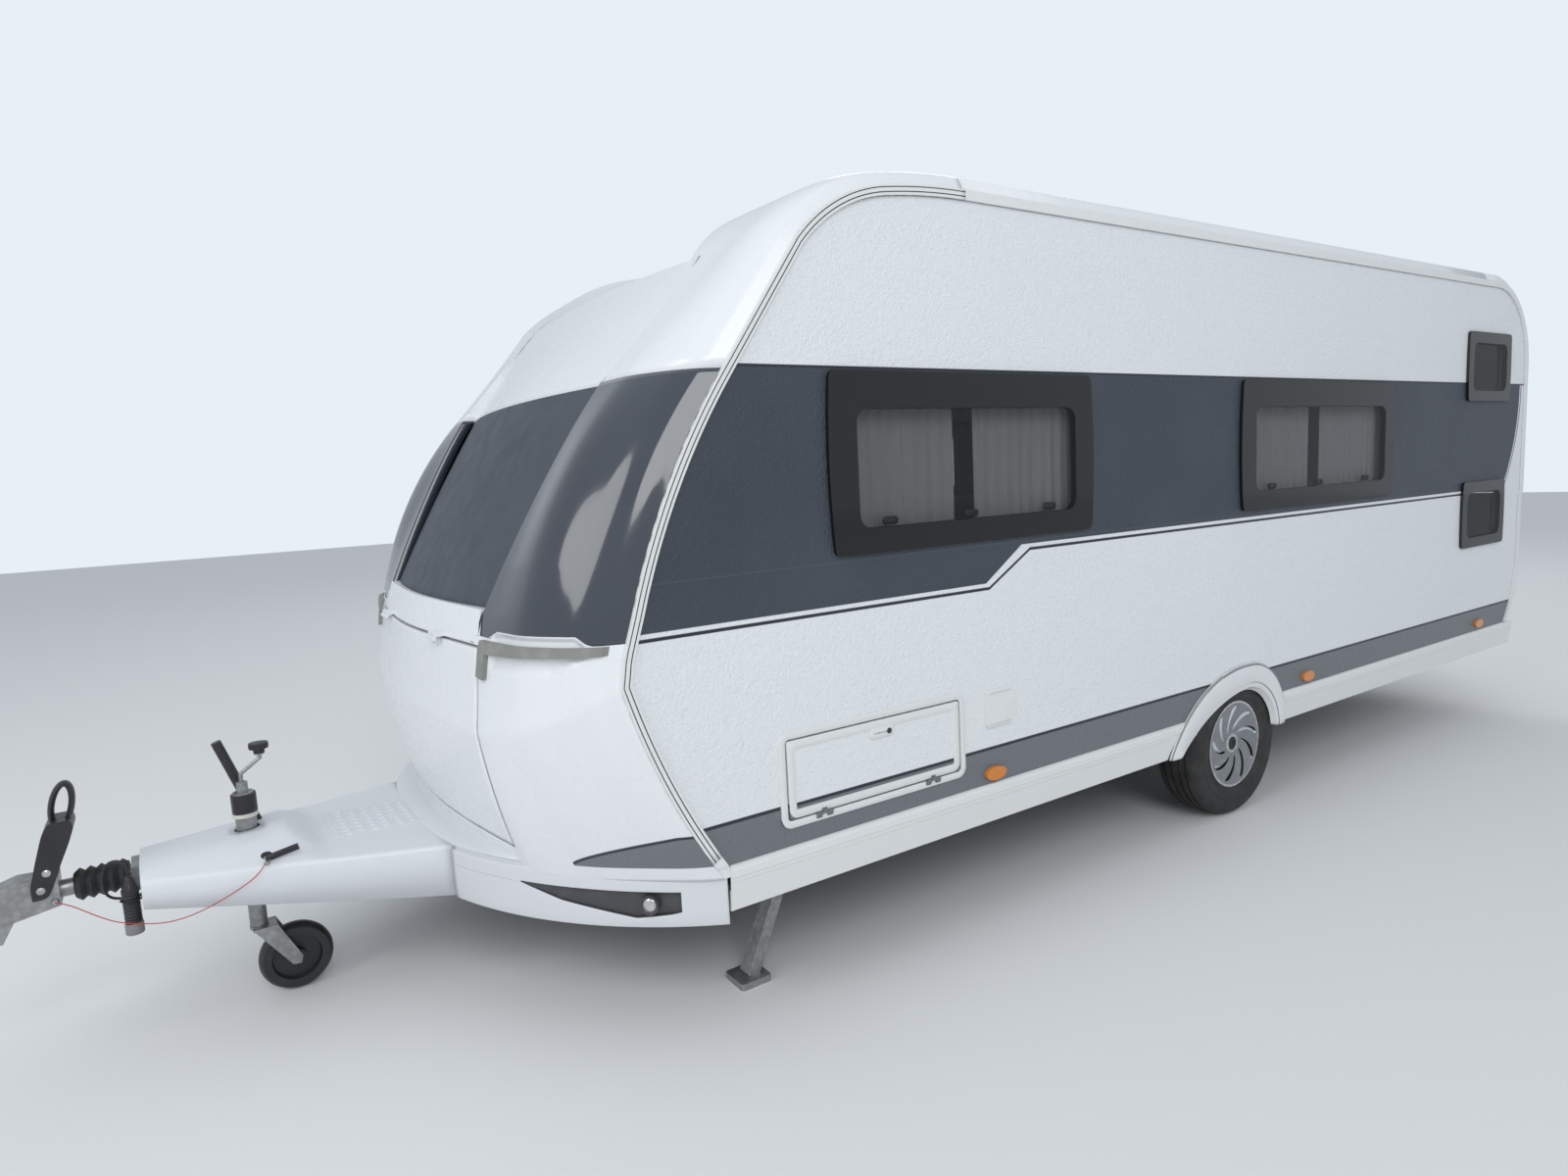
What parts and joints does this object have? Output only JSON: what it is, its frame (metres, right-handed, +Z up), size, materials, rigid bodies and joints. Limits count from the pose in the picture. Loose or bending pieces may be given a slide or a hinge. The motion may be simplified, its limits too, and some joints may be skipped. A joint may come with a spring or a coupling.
{
  "type": "single-axle travel caravan",
  "caption": "White touring caravan with dark window band, moulded front with gas locker lid, covered drawbar, jockey wheel and hinged corner steadies.",
  "frame": {"origin": "on the ground under the middle of the overall length and width", "axes": "+X towards the coupling, +Y to the left side, +Z up"},
  "size_m": [7.526, 2.328, 2.612],
  "materials": {
    "white_body": "hammered white coated sheet on a foam-cored panel",
    "white_moulding": "glossy white glass-fibre moulding",
    "white_rail": "white coated aluminium extrusion",
    "floor_board": "coated plywood sandwich floor",
    "board": "plywood board",
    "slate_panel": "matt slate grey panel",
    "slate_gloss": "glossy slate grey corner pane",
    "window_acrylic": "smoky acrylic with a black border",
    "curtain_cloth": "sheer light grey curtain",
    "grey_plastic": "olive grey plastic",
    "amber_lens": "amber lens",
    "lamp_lens": "dark lamp unit",
    "red_lens": "red lamp lens",
    "galvanised": "hot-dip galvanised steel",
    "black_steel": "black coated steel",
    "tyre_rubber": "road tyre rubber",
    "soft_rubber": "black rubber",
    "wheel_steel": "silver painted steel",
    "cover_silver": "silver grey plastic wheel cover",
    "black_plastic": "black plastic",
    "rooflight_plastic": "milky white plastic"
  },
  "bodies": {
    "caravan": {"floor_panel": "floor_board", "left_wall": "white_body", "right_wall": "white_body", "roof_panel": "white_body", "rear_panel": "white_moulding", "rear_bumper": "white_moulding", "front_cap": "white_moulding", "front_centre_pane": "slate_panel", "front_corner_panes": "slate_gloss", "front_lower_moulding": "white_moulding", "locker_bulkhead": "board", "front_bumper": "white_moulding", "front_lamps": "lamp_lens", "grab_handles": "grey_plastic", "edge_rails": "white_rail", "sill_left": "white_rail", "sill_right": "white_rail", "arch_trims": "white_moulding", "wheel_boxes": "black_plastic", "windows_left": "window_acrylic", "windows_right": "window_acrylic", "curtains": "curtain_cloth", "side_markers": "amber_lens", "rear_lamps": "red_lens", "rooflights": "rooflight_plastic", "chassis_rail_left": "galvanised", "chassis_rail_right": "galvanised", "cross_members": "galvanised", "axle": "galvanised", "drawbar_cover": "white_moulding", "coupling_body": "galvanised", "coupling_handle": "black_plastic", "drawbar_bellows": "soft_rubber", "handbrake_lever": "black_steel", "jockey_tube": "galvanised"},
    "wheel_left": {"tyre_left": "tyre_rubber", "rim_left": "wheel_steel", "wheel_cover_left": "cover_silver"},
    "wheel_right": {"tyre_right": "tyre_rubber", "rim_right": "wheel_steel", "wheel_cover_right": "cover_silver"},
    "jockey_stem": {"jockey_stem": "galvanised"},
    "jockey_fork": {"jockey_fork": "galvanised"},
    "jockey_wheel": {"jockey_wheel": "black_plastic"},
    "entrance_door": {"entrance_door": "white_body", "door_window": "window_acrylic"},
    "gas_locker_lid": {"gas_locker_lid": "white_moulding"},
    "service_hatch": {"service_hatch": "white_body"},
    "cassette_hatch": {"cassette_hatch": "white_body"},
    "socket_flap": {"socket_flap": "white_rail"},
    "steady_front_left": {"steady_front_left": "galvanised"},
    "steady_front_right": {"steady_front_right": "galvanised"},
    "steady_rear_left": {"steady_rear_left": "galvanised"},
    "steady_rear_right": {"steady_rear_right": "galvanised"}
  },
  "joints": [
    {"name": "wheel_left_spin", "type": "hinge", "parent": "caravan", "child": "wheel_left", "pos_m": [-0.74, 1.022, 0.32], "axis": [0, 1, 0], "continuous": true},
    {"name": "wheel_right_spin", "type": "hinge", "parent": "caravan", "child": "wheel_right", "pos_m": [-0.74, -1.022, 0.32], "axis": [0, 1, 0], "continuous": true},
    {"name": "jockey_lift", "type": "slide", "parent": "caravan", "child": "jockey_stem", "axis": [0, 0, 1], "range_m": [-0.08, 0.09]},
    {"name": "jockey_swivel", "type": "hinge", "parent": "jockey_stem", "child": "jockey_fork", "pos_m": [2.978, 0, 0.25], "axis": [0, 0, 1], "continuous": true},
    {"name": "jockey_wheel_spin", "type": "hinge", "parent": "jockey_fork", "child": "jockey_wheel", "pos_m": [2.883, 0, 0.111], "axis": [0, 1, 0], "continuous": true},
    {"name": "entrance_door_hinge", "type": "hinge", "parent": "caravan", "child": "entrance_door", "pos_m": [0.464, -1.162, 1.4], "axis": [0, 0, 1], "range_deg": [0, 170]},
    {"name": "gas_locker_lid_hinge", "type": "hinge", "parent": "caravan", "child": "gas_locker_lid", "pos_m": [2.44, 0, 1.155], "axis": [0, -1, 0], "range_deg": [0, 52]},
    {"name": "service_hatch_hinge", "type": "hinge", "parent": "caravan", "child": "service_hatch", "pos_m": [1.304, 1.151, 0.584], "axis": [-1, 0, 0], "range_deg": [0, 100]},
    {"name": "cassette_hatch_hinge", "type": "hinge", "parent": "caravan", "child": "cassette_hatch", "pos_m": [-2.97, -1.151, 0.616], "axis": [1, 0, 0], "range_deg": [0, 100]},
    {"name": "socket_flap_hinge", "type": "hinge", "parent": "caravan", "child": "socket_flap", "pos_m": [0.7655, 1.15, 0.836], "axis": [1, 0, 0], "range_deg": [0, 120]},
    {"name": "steady_front_left_fold", "type": "hinge", "parent": "caravan", "child": "steady_front_left", "pos_m": [1.53, 0.915, 0.372], "axis": [0, -1, 0], "range_deg": [0, 60]},
    {"name": "steady_front_right_fold", "type": "hinge", "parent": "caravan", "child": "steady_front_right", "pos_m": [1.53, -0.915, 0.372], "axis": [0, -1, 0], "range_deg": [0, 60]},
    {"name": "steady_rear_left_fold", "type": "hinge", "parent": "caravan", "child": "steady_rear_left", "pos_m": [-2.89, 0.915, 0.372], "axis": [0, -1, 0], "range_deg": [0, 60]},
    {"name": "steady_rear_right_fold", "type": "hinge", "parent": "caravan", "child": "steady_rear_right", "pos_m": [-2.89, -0.915, 0.372], "axis": [0, -1, 0], "range_deg": [0, 60]}
  ]
}
